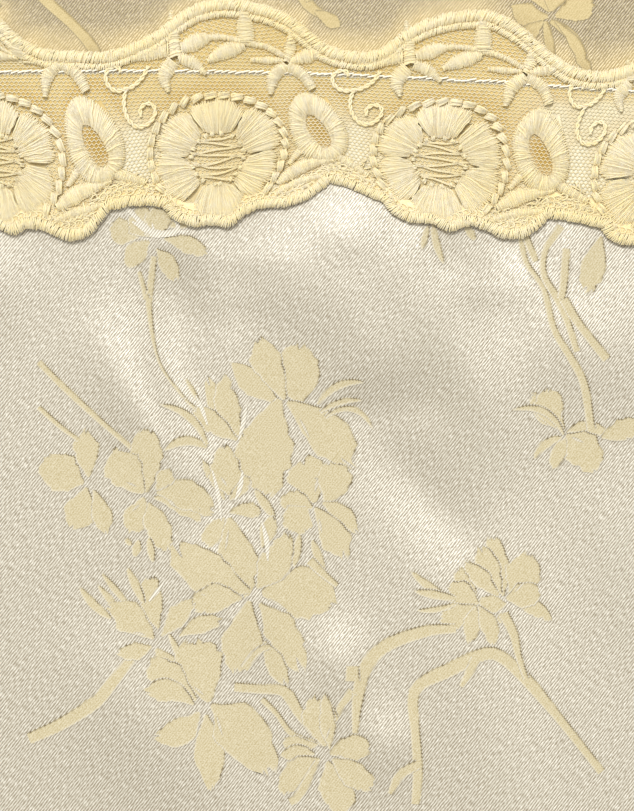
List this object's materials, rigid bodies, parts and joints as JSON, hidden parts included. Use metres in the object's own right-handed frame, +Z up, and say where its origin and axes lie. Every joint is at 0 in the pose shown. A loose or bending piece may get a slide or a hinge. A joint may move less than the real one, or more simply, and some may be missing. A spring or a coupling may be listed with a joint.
{
  "type": "maxi dress",
  "caption": "Sleeveless full-length satin dress laid flat, with wide shoulder straps, a square neck and a lace band along the front neckline.",
  "frame": {"origin": "centre of the dress's bounding box, at the surface that it lies on", "axes": "+Z up from that surface, out of the front; +Y from the hem to the shoulders; +X across the dress"},
  "size_m": [0.79, 1.4, 0.0167],
  "materials": {
    "satin": "ivory satin jacquard, shiny twill ground with matt golden-cream blossom",
    "satin_inside": "ivory satin jacquard, darker and more golden on the inside",
    "lace": "cream cotton galloon lace, matt corded embroidery on a golden net"
  },
  "bodies": {
    "root": {"back_panel": "satin_inside", "front_panel": "satin", "neckline_lace": "lace"}
  },
  "joints": []
}
